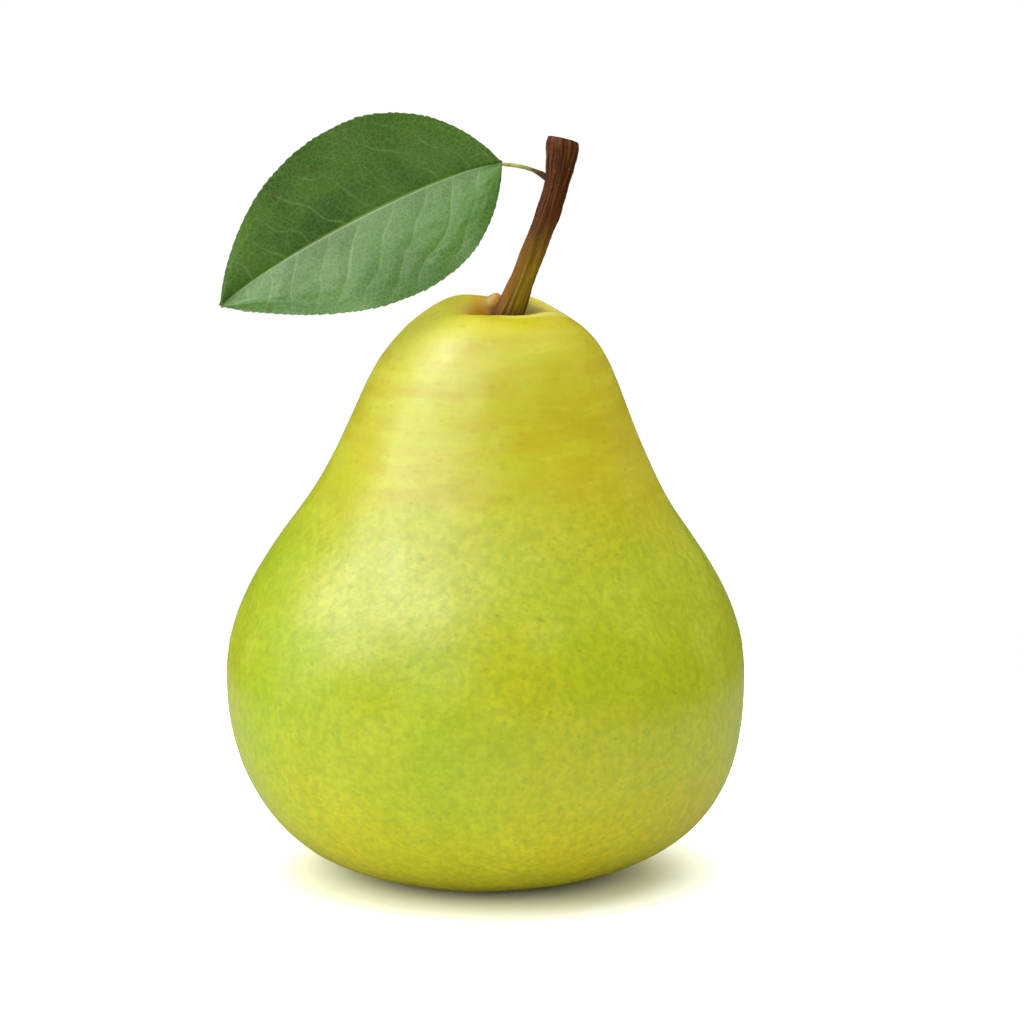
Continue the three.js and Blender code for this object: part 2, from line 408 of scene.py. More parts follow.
def cloudTexture(name, size, depth):
    texture = bpy.data.textures.new(name, "CLOUDS")
    texture.noise_scale = size
    texture.noise_depth = depth
    return texture


def shapeCrown(piece):
    # swells round the stalk, and the crease, which is noted on the mesh for its colour
    last = fruit["creaseSteps"]
    steps = [pathPoint(fruit["crease"], step / last)[0] for step in range(last + 1)]
    rimX, rimY, rimWide, rimDeep = fruit["rimLine"]
    tint, edge = [], []
    for vertex in piece.data.vertices:
        atTop = softStep(vertex.co.z, fruit["crownFrom"], fruit["crownFull"])
        creased = rimmed = 0
        if atTop > 0:
            flat = vertex.co.xy
            offRim = Vector(((flat.x - rimX) / rimWide, (flat.y - rimY) / rimDeep))
            away = (offRim.length - 1) * rimDeep / fruit["rimWidth"]
            rimmed = math.exp(-away * away) * softStep(-offRim.y, 0.1, 0.7) * atTop
            vertex.co.z += fruit["rimLip"] * rimmed
            for at, spread, height in crownSwells:
                away = (flat - Vector(at) * mm).length / (spread * mm)
                vertex.co.z += atTop * height * mm * math.exp(-away * away)
            away, number = min(((flat - step).length, number) for number, step in enumerate(steps))
            share = number / last
            width = fruit["creaseWidth"] * (1.25 - 0.6 * share)
            fade = 1 - share**3
            depth = fruit["creaseDepth"] * atTop * math.exp(-((away / width) ** 2))
            vertex.co.z -= depth * fade * (1 - 0.5 * share)
            creased = math.exp(-((away / (2.6 * width)) ** 2)) * fade
        tint.append(creased)
        edge.append(rimmed)
    for name, values in (("creaseShare", tint), ("rimShare", edge)):
        attribute = piece.data.attributes.new(name, "FLOAT", "POINT")
        attribute.data.foreach_set("value", values)


def makeFruit():
    pickNothing()
    piece = drawOutline()
    bpy.ops.object.mode_set(mode="EDIT")
    bpy.ops.mesh.select_all(action="SELECT")
    bpy.ops.mesh.spin(steps=fruit["steps"], angle=math.tau, center=(0, 0, 0), axis=(0, 0, 1))
    bpy.ops.object.mode_set(mode="OBJECT")
    cleanUp(piece)
    bpy.ops.object.mode_set(mode="EDIT")
    bpy.ops.transform.resize(value=(1, fruit["depth"], 1), center_override=(0, 0, 0))
    for at, by, reach in fruitPushes:
        pushSurface(piece, millimetres(*at), millimetres(*by), reach * mm)
    bpy.ops.object.mode_set(mode="OBJECT")
    addModifier(piece, "SUBSURF", levels=1, render_levels=1)
    for name, size, depth, share in (("broadSwells", 0.02, 1, 1), ("fineSwells", 0.005, 2, 0.22)):
        texture = cloudTexture(name, size, depth)
        strength = share * fruit["unevenness"]
        addModifier(piece, "DISPLACE", texture=texture, strength=strength, mid_level=0.5)
    applyModifiers(piece)
    shapeCrown(piece)
    for vertex in piece.data.vertices:  # basin folds, and a flat spot to stand on
        radius, angle = vertex.co.xy.length, math.atan2(vertex.co.y, vertex.co.x)
        if vertex.co.z < fruit["basinDepth"] + 1 * mm and radius < fruit["restInner"]:
            fold = softStep(radius, 2 * mm, 5 * mm) * softStep(radius, fruit["restInner"], 6 * mm)
            vertex.co.z += 0.35 * mm * fold * math.cos(10 * angle + 0.8 * math.sin(3 * angle))
        vertex.co.z = max(vertex.co.z, 0)
    return piece


skinColours = {  # red, green and blue, fitted under the studio lights
    "green": (0.42, 0.54, 0.002),
    "yellow": (0.64, 0.57, 0.005),
    "sunny": (0.56, 0.41, 0.002),
    "lightened": (0.74, 0.75, 0.12),  # the dim shoulder
    "streak": (0.54, 0.42, 0.001),
    "paleStreak": (0.68, 0.67, 0.02),
    "paleCast": (0.62, 0.66, 0.012),
    "mottle": (0.27, 0.38, 0.001),
    "crumb": (0.25, 0.32, 0.001),
    "pore": (0.24, 0.28, 0.003),
    "dash": (0.42, 0.30, 0.001),
    "speck": (0.34, 0.16, 0.005),
    # painted highlight along the front rim's edge
    "rimPaintedHighlight": (0.80, 0.78, 0.22),
    "golden": (0.56, 0.33, 0.001),  # russet
    "deep": (0.42, 0.18, 0.001),
    "peach": (0.60, 0.27, 0.02),
    # painted shade in the hollow right of the stalk
    "hollowShade": (0.28, 0.22, 0.001),
    # painted shade where the stalk's foot meets the skin
    "stalkFootShade": (0.10, 0.03, 0.002),
    "blossom": (0.20, 0.11, 0.02),
}


def skinMaterial():
    material, tree, shader, place = newMaterial(
        "pearSkin", IOR=1.5, Subsurface_Weight=0.08, Subsurface_Scale=0.003,
        Subsurface_Radius=(1.0, 0.8, 0.2), Specular_IOR_Level=0.6,
    )
    axes = addNode(tree, "ShaderNodeSeparateXYZ", {0: place}).outputs
    height = axes["Z"]
    neckShare = spread(tree, height, 0.047, 0.067)
    banded = stretched(tree, place, (1, 1, 6))

    # ripeness: greener belly, yellower neck and base, ochre on the side that saw the sun
    ripe = calculate(tree, "MULTIPLY", patches(tree, place, 40, 0.38, 0.66), 0.42)
    ripe = calculate(tree, "MULTIPLY_ADD", neckShare, 0.55, ripe)
    ripe = calculate(tree, "MULTIPLY_ADD", spread(tree, height, 0.022, 0.002), 0.9, ripe, clamp=True)
    colour = blendColours(tree, ripe, skinColours["green"], skinColours["yellow"])
    sunny = spread(tree, axes["X"], -0.012, 0.04)
    sunny = calculate(tree, "MULTIPLY", sunny, spread(tree, neckShare, 0, 1, 0.3, 0.75))
    colour = blendColours(tree, sunny, colour, skinColours["sunny"])

    # a paler patch high on the left: it lightens a shoulder that the studio leaves dim
    shoulder = calculate(tree, "MULTIPLY", spread(tree, axes["X"], 0.003, -0.014), spread(
        tree, height, 0.058, 0.078))
    colour = blendColours(tree, calculate(tree, "MULTIPLY", shoulder, 0.3), colour, skinColours["lightened"])

    # streaks that run round the neck
    streaks = patches(tree, banded, 62, 0.36, 0.64, 3)
    streakShare = calculate(tree, "MULTIPLY", streaks, spread(tree, neckShare, 0, 1, 0.06, 0.62))
    colour = blendColours(tree, streakShare, colour, skinColours["streak"])
    paleStreaks = patches(tree, banded, 105, 0.46, 0.68, 3)
    paleShare = calculate(tree, "MULTIPLY", paleStreaks, spread(tree, neckShare, 0, 1, 0.08, 0.34))
    colour = blendColours(tree, paleShare, colour, skinColours["paleStreak"])

    # paler cast and close green mottling, stronger on the belly
    pale = patches(tree, place, 110, 0.42, 0.7, 3)
    colour = blendColours(tree, calculate(tree, "MULTIPLY", pale, 0.3), colour, skinColours["paleCast"])
    onBelly = spread(tree, neckShare, 0, 1, 1, 0.22)
    mottle = calculate(tree, "MULTIPLY", patches(tree, place, 720, 0.34, 0.7, 4), onBelly)
    colour = blendColours(tree, calculate(tree, "MULTIPLY", mottle, 0.4), colour, skinColours["mottle"])
    crumbs = calculate(tree, "MULTIPLY", patches(tree, place, 1250, 0.42, 0.62), onBelly)
    colour = blendColours(tree, calculate(tree, "MULTIPLY", crumbs, 0.22), colour, skinColours["crumb"])

    # breathing pores, and a few brown specks
    pores = dots(tree, place, 560, 0.07, 0.14, 0.85)
    poreShare = calculate(tree, "MULTIPLY", pores, spread(tree, neckShare, 0, 1, 0.36, 0.12))
    colour = blendColours(tree, poreShare, colour, skinColours["pore"])
    dashes = dots(tree, stretched(tree, place, (1, 1, 2.2)), 420, 0.16, 0.2, 0.55)
    dashShare = calculate(tree, "MULTIPLY", dashes, spread(tree, neckShare, 0, 1, 0.16, 0.22))
    colour = blendColours(tree, dashShare, colour, skinColours["dash"])
    specks = dots(tree, place, 100, 0.022, 0.03, 0.3)
    colour = blendColours(tree, calculate(tree, "MULTIPLY", specks, 0.6), colour, skinColours["speck"])

    # painted highlight along the edge of the front rim; russet round the stalk, along the crease and in the
    # blossom hollow, and painted shade in the hollow and at the stalk's foot
    rim = addNode(tree, "ShaderNodeAttribute", attribute_name="rimShare").outputs["Fac"]
    colour = blendColours(tree, calculate(tree, "MULTIPLY", rim, 0.55), colour, skinColours["rimPaintedHighlight"])
    rough = patches(tree, place, 600, 0.3, 0.7, 4)

    def fromSpot(spot):
        away = addNode(tree, "ShaderNodeVectorMath", {0: place, 1: millimetres(*spot)}, operation="DISTANCE")
        return calculate(tree, "MULTIPLY_ADD", rough, 0.0012, away.outputs["Value"])

    # the russet fan left of the stalk, deeper towards the foot
    slanted = calculate(tree, "MULTIPLY_ADD", height, -1, axes["X"])
    slanted = calculate(tree, "MULTIPLY_ADD", rough, 0.0016, slanted)
    fan = calculate(tree, "MULTIPLY", spread(tree, slanted, -0.0872, -0.0832), spread(
        tree, axes["X"], 0.0036, 0.0024))
    fan = calculate(tree, "MULTIPLY", fan, spread(tree, axes["Y"], -0.0044, -0.0032))
    fan = calculate(tree, "MULTIPLY", fan, spread(tree, fromSpot((0.2, 0.8, 83.2)), 0.0082, 0.0056))
    crease = addNode(tree, "ShaderNodeAttribute", attribute_name="creaseShare").outputs["Fac"]
    crease = calculate(tree, "MULTIPLY", crease, spread(tree, rough, 0, 1, 0.75, 1))
    golden = calculate(tree, "MAXIMUM", fan, calculate(tree, "MULTIPLY", crease, 0.8), clamp=True)
    colour = blendColours(tree, golden, colour, skinColours["golden"])
    deep = calculate(tree, "MULTIPLY", spread(tree, height, 0.0846, 0.0826), golden)
    colour = blendColours(tree, calculate(tree, "MULTIPLY", deep, 0.75), colour, skinColours["deep"])
    peach = calculate(tree, "MULTIPLY", spread(tree, fromSpot((2.4, 1.0, 85.6)), 0.0026, 0.001), 0.8)
    colour = blendColours(tree, peach, colour, skinColours["peach"])
    # painted shade: darker olive down in the hollow right of the stalk
    hollowShade = calculate(tree, "MULTIPLY", spread(tree, fromSpot((5.6, 0, 82)), 0.0056, 0.0032), 0.85)
    colour = blendColours(tree, hollowShade, colour, skinColours["hollowShade"])
    # painted shade: dark brown round the stalk's foot
    stalkFootShade = calculate(tree, "MULTIPLY", spread(tree, fromSpot((2.2, 0.6, 83)), 0.0026, 0.0012), 0.9)
    colour = blendColours(tree, stalkFootShade, colour, skinColours["stalkFootShade"])
    under = calculate(tree, "MULTIPLY_ADD", rough, 0.003, addNode(
        tree, "ShaderNodeVectorMath", {0: place, 1: (0, 0, 0.004)}, operation="DISTANCE").outputs["Value"])
    nearBlossom = spread(tree, under, 0.011, 0.004)
    colour = blendColours(
        tree, calculate(tree, "MULTIPLY", nearBlossom, 0.75), colour, skinColours["blossom"]
    )

    grain = addNode(tree, "ShaderNodeTexNoise", {"Vector": place, "Scale": 1300, "Detail": 3}).outputs[0]
    relief = calculate(tree, "MULTIPLY_ADD", pores, -0.3, grain)
    relief = calculate(tree, "MULTIPLY_ADD", mottle, 0.5, relief)
    roughness = calculate(tree, "MULTIPLY_ADD", pale, 0.09, 0.32)
    roughness = calculate(tree, "MULTIPLY_ADD", nearBlossom, 0.25, roughness)
    sunk = spread(tree, fromSpot((8, 1.6, 83)), 0.0062, 0.0042)
    roughness = calculate(tree, "MULTIPLY_ADD", sunk, 0.5, roughness)
    connect(tree, shader, colour, roughness, relief, 0.00006, 0.6)
    return material


pearFlesh = makeFruit()
finishPiece(pearFlesh, ["fruit"], [skinMaterial()])


# the woody stalk

stalk = {
    "path": [
        millimetres(1.5, 0.3, 78.2),
        millimetres(5.4, -0.3, 87),
        millimetres(11.4, -0.6, 101),
        millimetres(11.3, 0.8, 107.6),
    ],
    "radius": 1.7 * mm,
    "foot": 0.5 * mm,
    "knob": 0.68 * mm,
    "cutSlope": 0.24,
    "ridges": 9,
    "ridgeDepth": 0.13 * mm,
    "rings": 190,
    "sides": 72,
}


def makeStalk():
    def radiusAt(share):
        foot = stalk["foot"] * (1 - softStep(share, 0.1, 0.36))
        knob = stalk["knob"] * softStep(share, 0.7, 0.95)
        lip = -0.16 * mm * softStep(share, 0.955, 1)  # rounded edge of the broken end
        return stalk["radius"] + foot + knob + lip

    def surface(angle, share, point):
        twist = angle + 1.1 * share
        swells = noise.noise(Vector((math.cos(twist), math.sin(twist), share * 5)) * 1.3)
        wander = 2.2 * noise.noise(Vector((share * 6, 3, math.sin(twist))))
        ridge = math.cos(stalk["ridges"] * twist + wander)
        fine = noise.noise(Vector((9 * math.cos(twist), 9 * math.sin(twist), share * 14)))
        crumbs = noise.noise(point * 2200)
        knobbly = noise.noise(point * 650) * softStep(share, 0.7, 0.9)
        relief = stalk["ridgeDepth"] * (1.4 * swells + 0.55 * ridge + 0.8 * fine)
        return relief + mm * (0.05 * crumbs + 0.14 * knobbly)

    piece = rodOf(
        "stalkBark", stalk["path"], radiusAt, stalk["rings"], stalk["sides"], surface, stalk["cutSlope"]
    )
    # the scar: the broken end is set in and sinks to its middle
    end = stalk["path"][3]
    bpy.ops.object.mode_set(mode="EDIT")
    bpy.ops.mesh.select_all(action="DESELECT")
    mesh = bmesh.from_edit_mesh(piece.data)
    face = min(mesh.faces, key=lambda face: (face.calc_center_median() - end).length_squared)
    face.select = True
    bmesh.update_edit_mesh(piece.data)
    centre, along = pathPoint(stalk["path"], 1)
    for scale, sink in ((0.93, -0.05), (0.9, 0.1), (0.82, 0.28), (0.7, 0.1), (0.5, -0.06), (0.3, -0.1)):
        bpy.ops.mesh.extrude_region_move(TRANSFORM_OT_translate={"value": -along * sink * mm})
        centre = centre - along * sink * mm
        bpy.ops.transform.resize(value=(scale, scale, scale), center_override=centre)
    bpy.ops.object.mode_set(mode="OBJECT")
    return piece


def barkMaterial():
    material, tree, shader, place = newMaterial("stalkBark", IOR=1.45, Specular_IOR_Level=0.14)
    axes = addNode(tree, "ShaderNodeSeparateXYZ", {0: place}).outputs
    height = axes["Z"]
    alongBark = addNode(tree, "ShaderNodeUVMap", uv_map="patternMap").outputs[0]
    lengthwise = stretched(tree, alongBark, (34, 3.2, 1))
    streaks = patches(tree, lengthwise, 1, 0.35, 0.68, 3)
    colour = blendColours(tree, streaks, (0.055, 0.013, 0.001), (0.18, 0.052, 0.003))
    blotch = patches(tree, place, 420, 0.45, 0.7, 3)
    colour = blendColours(tree, calculate(tree, "MULTIPLY", blotch, 0.4), colour, (0.025, 0.007, 0.001))

    # the young green wood near the fruit, rusty on its left, and painted shade darkening its foot down in the
    # hollow
    green = calculate(tree, "MULTIPLY_ADD", streaks, 0.003, height)
    greenShare = calculate(tree, "MULTIPLY", spread(tree, green, 0.0985, 0.0885), 0.85)
    colour = blendColours(tree, greenShare, colour, blendColours(
        tree, streaks, (0.19, 0.12, 0.002), (0.44, 0.30, 0.006)))
    aside = calculate(tree, "MULTIPLY_ADD", height, -0.43, axes["X"])
    rusty = calculate(tree, "MULTIPLY", spread(tree, aside, -0.0322, -0.0338), 0.75)
    colour = blendColours(tree, calculate(tree, "MULTIPLY", rusty, greenShare), colour, (0.36, 0.10, 0.004))
    # painted shade: darker towards the foot, down in the hollow
    footShade = calculate(tree, "MULTIPLY", spread(tree, green, 0.0868, 0.0838), 0.6)
    colour = blendColours(tree, footShade, colour, (0.10, 0.035, 0.003))
    pores = dots(tree, place, 900, 0.12, 0.12, 0.25)
    colour = blendColours(tree, calculate(tree, "MULTIPLY", pores, 0.4), colour, (0.26, 0.13, 0.04))

    fine = addNode(tree, "ShaderNodeTexNoise", {"Vector": lengthwise, "Scale": 2.5, "Detail": 5}).outputs[0]
    relief = calculate(tree, "MULTIPLY_ADD", streaks, 0.7, fine)
    roughness = calculate(tree, "MULTIPLY_ADD", blotch, 0.15, 0.55)
    connect(tree, shader, colour, roughness, relief, 0.00018, 0.8)
    return material


stalkBark = makeStalk()
finishPiece(stalkBark, ["stalk"], [barkMaterial()], 60)


# the leaf stalk

leafStalk = {
    "path": [
        millimetres(9.6, 0.0, 101.7),
        millimetres(7.4, -0.4, 103.6),
        millimetres(4.8, -0.6, 104.25),
        millimetres(1.0, -0.75, 104.25),
    ],
    "radius": 0.29 * mm,
    "swelling": 0.26 * mm,  # where it leaves the woody stalk
    "rings": 70,
    "sides": 20,
}


def makeLeafStalk():
    def radiusAt(share):
        swollen = leafStalk["swelling"] * (1 - softStep(share, 0.05, 0.4))
        return leafStalk["radius"] * (1 - 0.55 * softStep(share, 0.75, 1)) + swollen

    def surface(angle, share, point):
        return 0.03 * mm * noise.noise(point * 1800)

    return rodOf(
        "leafStem", leafStalk["path"], radiusAt, leafStalk["rings"], leafStalk["sides"], surface
    )


def leafStalkMaterial():
    material, tree, shader, place = newMaterial("leafStem", IOR=1.42)
    along = addNode(tree, "ShaderNodeSeparateXYZ", {0: place}).outputs["X"]
    mixed = patches(tree, place, 700, 0.35, 0.65, 3)
    colour = blendColours(tree, mixed, (0.30, 0.32, 0.05), (0.46, 0.42, 0.09))
    edge = calculate(tree, "MULTIPLY_ADD", mixed, 0.001, along)
    colour = blendColours(tree, spread(tree, edge, 0.0056, 0.0083), colour, (0.09, 0.033, 0.005))
    roughness = calculate(tree, "MULTIPLY_ADD", mixed, 0.15, 0.4)
    connect(tree, shader, colour, roughness, mixed, 0.00005)
    return material


leafStem = makeLeafStalk()
finishPiece(leafStem, ["leaf_stalk"], [leafStalkMaterial()], 60)


# the leaf

leafBase = millimetres(2.5, -0.75, 104.35)
leafTip = millimetres(-38, -5, 84.2)
leaf = {
    "midrib": [leafBase, millimetres(-6.4, -2.5, 103.8), millimetres(-31, -5, 90.8), leafTip],
    "upperEdge": [leafBase, millimetres(-12.7, -8.5, 121.6), millimetres(-35.6, -11, 107.6), leafTip],
    "lowerEdge": [leafBase, millimetres(1.5, -11, 83.05), millimetres(-23, -13.5, 82.75), leafTip],
    "facing": Vector((0.03, -1, 0.15)).normalized(),
    "arch": 0.6 * mm,  # how far each half bulges out of the flat
    "end": 0.12 * mm,  # half width left at both ends
    "thickness": 0.28 * mm,
    "rib": 0.5 * mm,  # how far the midrib stands out underneath
    "teeth": 46,  # on each side
    "toothDepth": 0.24 * mm,
    "veinStep": 4.4 * mm,
    "veinDepth": 0.05 * mm,
    "quilting": 0.09 * mm,
    "columns": 300,
    "rows": 112,
}


def veinPhase(along, out, upper):
    # whole numbers lie on the side veins, which bend towards the tip
    wander = 0.36 * noise.noise(Vector((along, out, 4 if upper else 9)) / (5 * mm))
    bend = 0.62 * out + 14 * out * out
    return (along - bend) / leaf["veinStep"] + wander + (0.5 if upper else 0)


def toothEdge(share, upper):
    # saw teeth that point to the tip
    position = share * leaf["teeth"] + 0.8 * noise.noise(Vector((share * 13, 2 if upper else 7, 0)))
    within = position % 1
    size = leaf["toothDepth"] * (0.8 + 0.9 * noise.noise(Vector((int(position) * 1.7, 5, 1))))
    return size * (within**0.7 if within < 0.8 else 0.855 * (1 - within) / 0.2)


def makeLeaf():
    facing = leaf["facing"]
    length = (leafTip - leafBase).length
    phases, ribs = [], []

    def place(share, over):
        across = 2 * over - 1  # -1 on the upper edge, 1 on the lower
        upper = across < 0
        middle, along = pathPoint(leaf["midrib"], share)
        edge = pathPoint(leaf["upperEdge" if upper else "lowerEdge"], share)[0]
        side = facing.cross(along).normalized()
        width = (edge - middle).length
        out = width * abs(across)
        phase = veinPhase(share * length, out, upper)
        phases.append(phase)
        ends = softStep(share, 0, 0.05) * softStep(share, 1, 0.97)
        ribs.append(math.exp(-((out / (0.45 * mm)) ** 2)) * softStep(share, 1.02, 0.4))
        inBlade = softStep(out, 0, 2 * mm) * softStep(width - out, 0, 2.5 * mm)
        offVein = abs(phase - round(phase)) * leaf["veinStep"] * 0.8
        height = leaf["arch"] * math.sin(math.pi * abs(across))
        height -= 0.14 * mm * math.exp(-((out / (0.3 * mm)) ** 2)) * softStep(share, 1.02, 0.5)
        height -= leaf["veinDepth"] * inBlade * math.exp(-((offVein / (0.24 * mm)) ** 2))
        height += leaf["quilting"] * inBlade * (1 - math.cos(math.tau * phase)) / 2
        height += 0.1 * mm * inBlade * noise.noise(Vector((share * 22, across * 9, 5)))
        ripple = math.sin(19 * share + (0.6 if upper else 2.9)) + 0.6 * math.sin(33 * share + 1)
        height += 0.4 * mm * ripple * ends * abs(across) ** 2.5
        height += 0.35 * mm * noise.noise(Vector((share * 5, across * 2, 3)))
        tooth = toothEdge(share, upper) * ends * softStep(abs(across), 0.86, 1)
        outwards = (edge - middle).normalized() if width > 0.5 * mm else side * (-1 if upper else 1)
        point = middle.lerp(edge, abs(across)) + outwards * tooth
        return point + side * (leaf["end"] * across) + facing * height

    piece = sheetOf("leafBlade", leaf["columns"], leaf["rows"])
    reshape(piece, place)
    attribute = piece.data.attributes.new("veinPhase", "FLOAT", "POINT")
    attribute.data.foreach_set("value", phases)
    if piece.data.polygons[0].normal.dot(facing) < 0:
        piece.data.flip_normals()
    for material in (leafMaterial("leafUpper", True), leafMaterial("leafUnder", False)):
        piece.data.materials.append(material)
    addModifier(
        piece, "SOLIDIFY", thickness=leaf["thickness"], offset=-1, material_offset=1, use_even_offset=False
    )
    applyModifiers(piece)
    for share, vertex in zip(ribs, list(piece.data.vertices)[len(ribs):]):
        vertex.co -= facing * (leaf["rib"] * share)
    return piece


leafColours = {  # red, green and blue, fitted under the studio lights
    "upper": (0.075, 0.18, 0.009),
    "upperDeep": (0.042, 0.118, 0.004),
    "upperVein": (0.26, 0.40, 0.10),
    "litLowerHalf": (0.11, 0.30, 0.05),  # painted light: this half catches the light, so it is made paler
    # painted shade towards the margins
    "shadedMargin": (0.045, 0.14, 0.006),
    "under": (0.17, 0.27, 0.075),
    "underDeep": (0.13, 0.22, 0.055),
    "underVein": (0.40, 0.49, 0.20),
    "spot": (0.10, 0.07, 0.015),
}


def leafMaterial(name, upper):
    material, tree, shader, place = newMaterial(
        name, IOR=1.45, Subsurface_Weight=0.06, Subsurface_Scale=0.001, Subsurface_Radius=(0.5, 1.0, 0.2)
    )
    phase = addNode(tree, "ShaderNodeAttribute", attribute_name="veinPhase").outputs["Fac"]
    over = addNode(tree, "ShaderNodeUVMap", uv_map="patternMap").outputs[0]
    over = addNode(tree, "ShaderNodeSeparateXYZ", {0: over}).outputs
    across = calculate(tree, "ABSOLUTE", calculate(tree, "MULTIPLY_ADD", over["Y"], 2, -1))

    offVein = calculate(tree, "PINGPONG", calculate(tree, "ADD", phase, 50), 0.5)
    sideVein = calculate(tree, "MULTIPLY", spread(tree, offVein, 0.022, 0.055, 1, 0), spread(
        tree, across, 1.0, 0.6))
    patchy = patches(tree, place, 260, 0.3, 0.62, 2)
    sideVein = calculate(tree, "MULTIPLY", sideVein, patchy)
    midrib = spread(tree, across, 0.012, 0.026, 1, 0)
    litLowerHalf = spread(tree, over["Y"], 0.49, 0.52)
    waves = addNode(tree, "ShaderNodeTexNoise", {"Vector": place, "Scale": 900, "Detail": 2}).outputs["Color"]
    waves = addNode(tree, "ShaderNodeVectorMath", {0: waves, "Scale": 0.0007}, operation="SCALE").outputs[0]
    wavy = addNode(tree, "ShaderNodeVectorMath", {0: place, 1: waves}, operation="ADD").outputs[0]
    cells = addNode(tree, "ShaderNodeTexVoronoi", {
        "Vector": wavy, "Scale": 1250,
    }, feature="DISTANCE_TO_EDGE").outputs["Distance"]
    net = spread(tree, cells, 0.02, 0.12, 1, 0)
    smallNet = addNode(tree, "ShaderNodeTexVoronoi", {
        "Vector": wavy, "Scale": 2800,
    }, feature="DISTANCE_TO_EDGE").outputs["Distance"]
    net = calculate(tree, "MAXIMUM", net, spread(tree, smallNet, 0.03, 0.15, 0.45, 0))

    deep = patches(tree, place, 130, 0.4, 0.65, 3)
    if upper:
        colour = blendColours(tree, deep, leafColours["upper"], leafColours["upperDeep"])
        veinColour, netShare, veinShare, roughest = leafColours["upperVein"], 0.26, 0.34, 0.36
        # painted light: the lower half made paler where it catches the light
        colour = blendColours(
            tree, calculate(tree, "MULTIPLY", litLowerHalf, 0.4), colour, leafColours["litLowerHalf"]
        )
        # painted shade: darker towards the margins, fading out towards the tip
        shadedMargin = calculate(
            tree, "MULTIPLY", spread(tree, across, 0.35, 1.0), spread(tree, over["X"], 0.9, 0.3)
        )
        colour = blendColours(tree, calculate(tree, "MULTIPLY", shadedMargin, 0.55), colour, leafColours["shadedMargin"])
    else:
        colour = blendColours(tree, deep, leafColours["under"], leafColours["underDeep"])
        veinColour, netShare, veinShare, roughest = leafColours["underVein"], 0.25, 0.6, 0.55
    colour = blendColours(tree, calculate(tree, "MULTIPLY", net, netShare), colour, veinColour)
    colour = blendColours(tree, calculate(tree, "MULTIPLY", sideVein, veinShare), colour, veinColour)
    colour = blendColours(tree, calculate(tree, "MULTIPLY", midrib, 0.85), colour, veinColour)
    spots = dots(tree, place, 160, 0.05, 0.05, 0.2)
    colour = blendColours(tree, calculate(tree, "MULTIPLY", spots, 0.5), colour, leafColours["spot"])

    grain = addNode(tree, "ShaderNodeTexNoise", {"Vector": place, "Scale": 2600, "Detail": 2}).outputs[0]
    relief = calculate(tree, "MULTIPLY_ADD", net, -0.5 if upper else 0.7, grain)
    roughness = calculate(tree, "MULTIPLY_ADD", grain, 0.12, roughest)
    roughness = calculate(tree, "MULTIPLY_ADD", litLowerHalf, 0.06, roughness)
    connect(tree, shader, colour, roughness, relief, 0.00004, 0.6)
    return material


leafBlade = makeLeaf()
leafBlade.visible_shadow = False  # not physical: keeps its shadow off the neck
finishPiece(leafBlade, ["leaf_blade"], [], 60)


# the dried blossom underneath

blossom = {
    "line": [  # middle of a sepal: distance from the fruit's axis, and height
        Vector((2.9, 4.1)) * mm,
        Vector((2.8, 2.4)) * mm,
        Vector((3.4, 1.2)) * mm,
        Vector((5.8, 0.9)) * mm,
    ],
    "halfWidth": 1.5 * mm,
    "thickness": 0.35 * mm,
    "sepals": 5,
    "columns": 22,
    "rows": 12,
    "threads": 22,  # withered stamens
}


def makeSepal(number):
    dice = random.Random(40 + number)
    curl, twist, longer = dice.uniform(0.2, 0.6), dice.uniform(-0.5, 0.5), dice.uniform(0.88, 1.04)
    turn = math.tau * (number + 0.25) / blossom["sepals"]

    def place(share, over):
        across = 2 * over - 1
        middle, along = pathPoint(blossom["line"], share * longer)
        half = blossom["halfWidth"] * (1 - share**1.5) ** 0.8 + 0.1 * mm
        wrinkle = noise.noise(Vector((share * 4, across * 3, number * 5)))
        lift = -curl * mm * across**2 + 0.3 * mm * wrinkle + twist * mm * across * share
        point = Vector((middle.x - along.y * lift, half * across, middle.y + along.x * lift))
        return Quaternion((0, 0, 1), turn) @ point

    piece = sheetOf(f"driedSepal{number + 1}", blossom["columns"], blossom["rows"])
    reshape(piece, place)
    addModifier(piece, "SOLIDIFY", thickness=blossom["thickness"], offset=0)
    addModifier(piece, "SUBSURF", levels=1, render_levels=1)
    applyModifiers(piece)
    cleanUp(piece, 0.000001)
    return piece


def makeStamens():
    dice = random.Random(7)
    threads = []
    for number in range(blossom["threads"]):
        angle = math.tau * number / blossom["threads"] + dice.uniform(-0.2, 0.2)
        out = Vector((math.cos(angle), math.sin(angle), 0))
        foot = out * dice.uniform(0.3, 1.1) * mm + Vector((0, 0, 7 * mm))
        tip = out * dice.uniform(0.2, 1.7) * mm + Vector((0, 0, dice.uniform(2.3, 3.6) * mm))
        sway = Vector((dice.uniform(-1, 1), dice.uniform(-1, 1), 0)) * 0.5 * mm
        path = [foot, foot.lerp(tip, 0.33) + sway, foot.lerp(tip, 0.7) - sway, tip]

        def radiusAt(share):
            return (0.11 + 0.13 * softStep(share, 0.82, 0.92) * softStep(share, 1.02, 0.95)) * mm

        threads.append(rodOf(f"thread{number}", path, radiusAt, 14, 7))
    pickOnly(threads[0])
    for thread in threads:
        thread.select_set(True)
    bpy.ops.object.join()
    return named("driedStamens")


